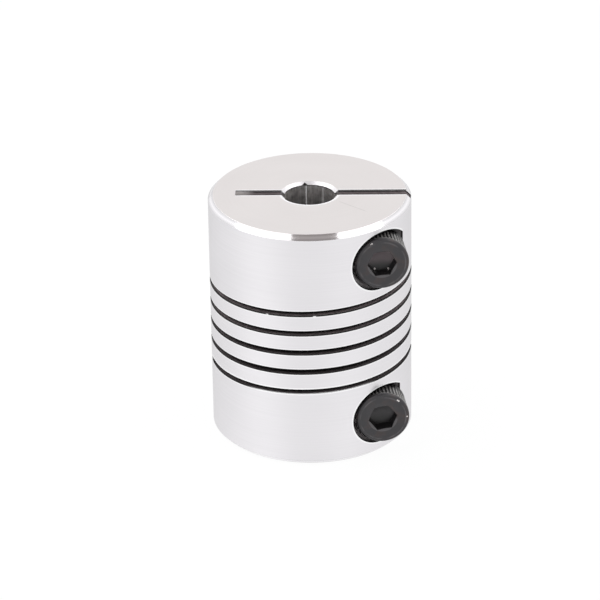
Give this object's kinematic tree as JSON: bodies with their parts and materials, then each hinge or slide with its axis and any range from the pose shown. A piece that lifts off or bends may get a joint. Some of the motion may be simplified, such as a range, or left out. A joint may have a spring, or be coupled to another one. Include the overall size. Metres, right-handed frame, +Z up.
{
  "type": "flexible shaft coupling",
  "caption": "Cylindrical helical beam coupling cut from one metal bar, with a clamp slit and a socket head clamp screw in the hub at each end of its bore.",
  "frame": {"origin": "centre of the lower end face, on the axis of the bores", "axes": "+Z up along the shafts, -Y on the side of the screw heads, which face 8 degrees round from it towards +X, +X towards the open side of both clamp slits"},
  "size_m": [0.02, 0.02, 0.025],
  "materials": {
    "aluminium_body": "satin",
    "black_screw": "satin"
  },
  "bodies": {
    "root": {"coupling_body": "aluminium_body", "lower_clamp_screw": "black_screw", "upper_clamp_screw": "black_screw"}
  },
  "joints": []
}
